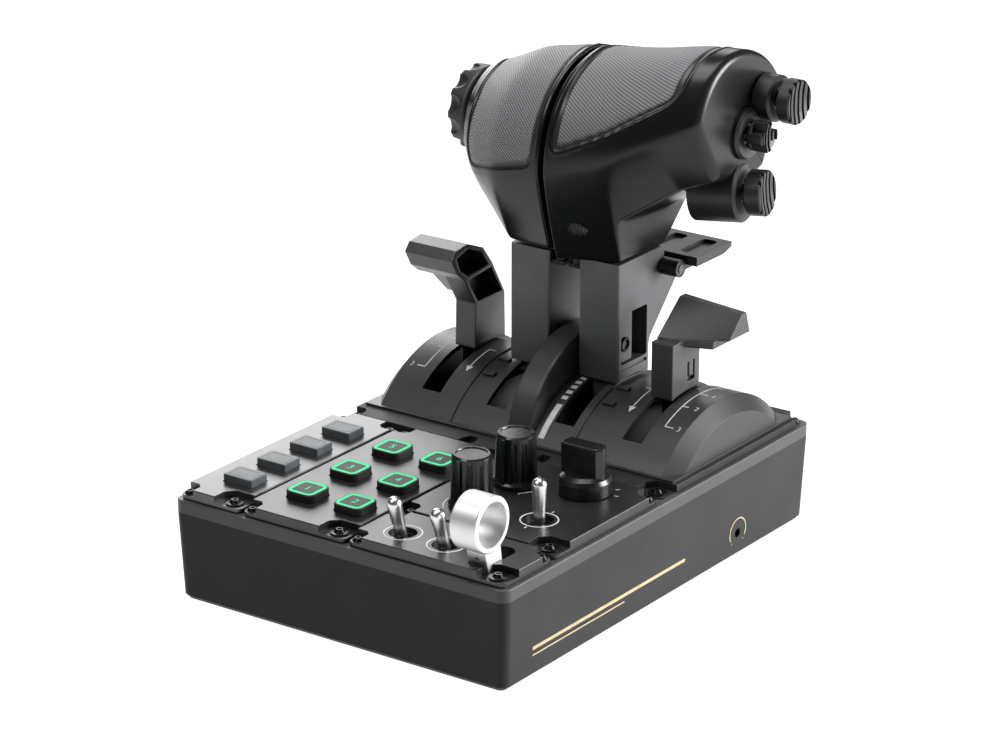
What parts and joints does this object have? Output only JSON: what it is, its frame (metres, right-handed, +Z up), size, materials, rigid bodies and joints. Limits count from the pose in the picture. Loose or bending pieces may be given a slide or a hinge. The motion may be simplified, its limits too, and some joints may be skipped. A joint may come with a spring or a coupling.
{
  "type": "throttle quadrant",
  "caption": "Desk throttle quadrant with a split hand grip on two arms over an arched cover, side levers, and front panels of keys, push buttons, toggles, knobs and a finger ring lever.",
  "frame": {"origin": "on the surface the part stands on, under the middle of the base", "axes": "+X to the user's right, +Y away from the user, +Z up"},
  "size_m": [0.2, 0.2806, 0.2566],
  "materials": {
    "arm_metal": "satin",
    "black_plastic": "satin",
    "chrome": "gloss",
    "circuit": "satin",
    "gloss_black": "gloss",
    "grey_plastic": "satin",
    "key_plastic": "satin",
    "pale_plastic": "satin",
    "plate": "satin",
    "rubber": "matte",
    "satin_metal": "satin",
    "steel": "satin"
  },
  "bodies": {
    "base": {"base_tray": "black_plastic", "top_frame": "black_plastic", "key_panel": "plate", "button_panel": "plate", "switch_panel": "plate", "rotary_panel": "plate", "deck_plate": "plate", "panel_screws": "steel", "push_switches": "gloss_black", "circuit_boards": "circuit", "rubber_feet": "rubber", "data_socket": "steel", "panel_switches": "gloss_black", "ring_bracket": "steel", "quadrant_cover_left": "grey_plastic", "quadrant_cover_right": "grey_plastic", "centre_rib": "grey_plastic", "pivot_shaft": "steel", "shaft_brackets": "steel", "friction_discs": "gloss_black"},
    "left_throttle": {"left_arm": "arm_metal", "left_grip": "black_plastic", "left_roller": "satin_metal"},
    "right_throttle": {"right_arm": "arm_metal", "right_grip": "black_plastic", "right_roller": "satin_metal", "hat_bezels": "black_plastic", "lower_hat_socket": "black_plastic"},
    "left_lift": {"left_finger_lift": "black_plastic"},
    "right_lift": {"right_finger_lift": "black_plastic"},
    "left_side_lever": {"left_lever_blade": "steel", "left_lever": "grey_plastic"},
    "right_side_lever": {"right_lever_blade": "steel", "right_lever": "grey_plastic"},
    "dial": {"thumb_dial": "black_plastic"},
    "upper_cradle": {"upper_hat_cradle": "steel"},
    "upper_thumb_hat": {"upper_hat": "black_plastic"},
    "middle_cradle": {"middle_hat_cradle": "steel"},
    "middle_thumb_hat": {"middle_hat": "black_plastic"},
    "lower_cradle": {"lower_hat_cradle": "steel"},
    "lower_thumb_hat": {"lower_hat": "black_plastic"},
    "rear_push": {"rear_button": "pale_plastic"},
    "slider": {"front_slider": "black_plastic"},
    "key_1_cap": {"key_1": "key_plastic"},
    "key_2_cap": {"key_2": "key_plastic"},
    "key_3_cap": {"key_3": "key_plastic"},
    "key_4_cap": {"key_4": "key_plastic"},
    "button_1_cap": {"button_1": "gloss_black"},
    "button_2_cap": {"button_2": "gloss_black"},
    "button_3_cap": {"button_3": "gloss_black"},
    "button_4_cap": {"button_4": "gloss_black"},
    "button_5_cap": {"button_5": "gloss_black"},
    "button_6_cap": {"button_6": "gloss_black"},
    "toggle_1_bat": {"toggle_1": "chrome"},
    "toggle_2_bat": {"toggle_2": "chrome"},
    "toggle_3_bat": {"toggle_3": "chrome"},
    "ring": {"ring_lever": "satin_metal"},
    "knob_1_turn": {"knob_1": "black_plastic"},
    "knob_2_turn": {"knob_2": "black_plastic"},
    "selector": {"selector_knob": "black_plastic"}
  },
  "joints": [
    {"name": "left_throttle_pivot", "type": "hinge", "parent": "base", "child": "left_throttle", "pos_m": [0, 0.0692, 0.014], "axis": [-1, 0, 0], "range_deg": [-25, 25]},
    {"name": "right_throttle_pivot", "type": "hinge", "parent": "base", "child": "right_throttle", "pos_m": [0, 0.0692, 0.014], "axis": [-1, 0, 0], "range_deg": [-25, 25]},
    {"name": "left_side_lever_pivot", "type": "hinge", "parent": "base", "child": "left_side_lever", "pos_m": [0, 0.0692, 0.014], "axis": [-1, 0, 0], "range_deg": [-24, 24]},
    {"name": "right_side_lever_pivot", "type": "hinge", "parent": "base", "child": "right_side_lever", "pos_m": [0, 0.0692, 0.014], "axis": [-1, 0, 0], "range_deg": [-24, 24]},
    {"name": "left_lift_pivot", "type": "hinge", "parent": "left_throttle", "child": "left_lift", "pos_m": [0, 0.0965, 0.137], "axis": [1, 0, 0], "range_deg": [0, 20], "stiffness_Nm_per_rad": 0.05, "springref_deg": -5.73},
    {"name": "right_lift_pivot", "type": "hinge", "parent": "right_throttle", "child": "right_lift", "pos_m": [0, 0.0965, 0.137], "axis": [1, 0, 0], "range_deg": [0, 20], "stiffness_Nm_per_rad": 0.05, "springref_deg": -5.73},
    {"name": "dial_turn", "type": "hinge", "parent": "left_throttle", "child": "dial", "pos_m": [-0.0724, 0.0925, 0.203], "axis": [-1, 0, 0], "range_deg": [-35, 35], "stiffness_Nm_per_rad": 0.02},
    {"name": "upper_side_tilt", "type": "hinge", "parent": "right_throttle", "child": "upper_cradle", "pos_m": [0.0845, 0.12, 0.2285], "axis": [0, 0, -1], "range_deg": [-8, 8], "stiffness_Nm_per_rad": 0.02},
    {"name": "upper_tilt", "type": "hinge", "parent": "upper_cradle", "child": "upper_thumb_hat", "pos_m": [0.0845, 0.12, 0.2285], "axis": [0, 1, 0], "range_deg": [-8, 8], "stiffness_Nm_per_rad": 0.02},
    {"name": "middle_side_tilt", "type": "hinge", "parent": "right_throttle", "child": "middle_cradle", "pos_m": [0.0755, 0.1054, 0.2124], "axis": [0, 0, -1], "range_deg": [-6, 6], "stiffness_Nm_per_rad": 0.02},
    {"name": "middle_tilt", "type": "hinge", "parent": "middle_cradle", "child": "middle_thumb_hat", "pos_m": [0.0755, 0.1054, 0.2124], "axis": [0, 1, 0], "range_deg": [-6, 6], "stiffness_Nm_per_rad": 0.02},
    {"name": "lower_side_tilt", "type": "hinge", "parent": "right_throttle", "child": "lower_cradle", "pos_m": [0.0754, 0.10295, 0.18218], "axis": [0.0858, 0.0151, -0.9962], "range_deg": [-8, 8], "stiffness_Nm_per_rad": 0.02},
    {"name": "lower_tilt", "type": "hinge", "parent": "lower_cradle", "child": "lower_thumb_hat", "pos_m": [0.0754, 0.10295, 0.18218], "axis": [-0.1736, 0.9848, 0], "range_deg": [-8, 8], "stiffness_Nm_per_rad": 0.02},
    {"name": "rear_button_press", "type": "slide", "parent": "right_throttle", "child": "rear_push", "axis": [-1, 0, 0], "range_m": [0, 0.0012], "stiffness_N_per_m": 800, "springref_m": -0.0005},
    {"name": "front_slider_slide", "type": "slide", "parent": "right_throttle", "child": "slider", "axis": [1, 0, 0], "range_m": [-0.0038, 0.0038]},
    {"name": "key_1_press", "type": "slide", "parent": "base", "child": "key_1_cap", "axis": [0, 0, -1], "range_m": [0, 0.0015], "stiffness_N_per_m": 800, "springref_m": -0.0003},
    {"name": "key_2_press", "type": "slide", "parent": "base", "child": "key_2_cap", "axis": [0, 0, -1], "range_m": [0, 0.0015], "stiffness_N_per_m": 800, "springref_m": -0.0003},
    {"name": "key_3_press", "type": "slide", "parent": "base", "child": "key_3_cap", "axis": [0, 0, -1], "range_m": [0, 0.0015], "stiffness_N_per_m": 800, "springref_m": -0.0003},
    {"name": "key_4_press", "type": "slide", "parent": "base", "child": "key_4_cap", "axis": [0, 0, -1], "range_m": [0, 0.0015], "stiffness_N_per_m": 800, "springref_m": -0.0003},
    {"name": "button_1_press", "type": "slide", "parent": "base", "child": "button_1_cap", "axis": [0, 0, -1], "range_m": [0, 0.0015], "stiffness_N_per_m": 800, "springref_m": -0.0003},
    {"name": "button_2_press", "type": "slide", "parent": "base", "child": "button_2_cap", "axis": [0, 0, -1], "range_m": [0, 0.0015], "stiffness_N_per_m": 800, "springref_m": -0.0003},
    {"name": "button_3_press", "type": "slide", "parent": "base", "child": "button_3_cap", "axis": [0, 0, -1], "range_m": [0, 0.0015], "stiffness_N_per_m": 800, "springref_m": -0.0003},
    {"name": "button_4_press", "type": "slide", "parent": "base", "child": "button_4_cap", "axis": [0, 0, -1], "range_m": [0, 0.0015], "stiffness_N_per_m": 800, "springref_m": -0.0003},
    {"name": "button_5_press", "type": "slide", "parent": "base", "child": "button_5_cap", "axis": [0, 0, -1], "range_m": [0, 0.0015], "stiffness_N_per_m": 800, "springref_m": -0.0003},
    {"name": "button_6_press", "type": "slide", "parent": "base", "child": "button_6_cap", "axis": [0, 0, -1], "range_m": [0, 0.0015], "stiffness_N_per_m": 800, "springref_m": -0.0003},
    {"name": "toggle_1_flip", "type": "hinge", "parent": "base", "child": "toggle_1_bat", "pos_m": [0.0267, -0.117, 0.055], "axis": [-1, 0, 0], "range_deg": [0, 34]},
    {"name": "toggle_2_flip", "type": "hinge", "parent": "base", "child": "toggle_2_bat", "pos_m": [0.0522, -0.117, 0.055], "axis": [-1, 0, 0], "range_deg": [0, 34]},
    {"name": "toggle_3_flip", "type": "hinge", "parent": "base", "child": "toggle_3_bat", "pos_m": [0.0704, -0.0661, 0.055], "axis": [-1, 0, 0], "range_deg": [-17, 17]},
    {"name": "ring_lever_swing", "type": "hinge", "parent": "base", "child": "ring", "pos_m": [0.0783, -0.1163, 0.038], "axis": [-1, 0, 0], "range_deg": [0, 26]},
    {"name": "knob_1_spin", "type": "hinge", "parent": "base", "child": "knob_1_turn", "pos_m": [0.0338, -0.0337, 0.0603], "axis": [0, 0, 1], "continuous": true},
    {"name": "knob_2_spin", "type": "hinge", "parent": "base", "child": "knob_2_turn", "pos_m": [0.0329, -0.0695, 0.0603], "axis": [0, 0, 1], "continuous": true},
    {"name": "selector_turn", "type": "hinge", "parent": "base", "child": "selector", "pos_m": [0.068, -0.0238, 0.0603], "axis": [0, 0, 1], "range_deg": [-75, 75]}
  ]
}
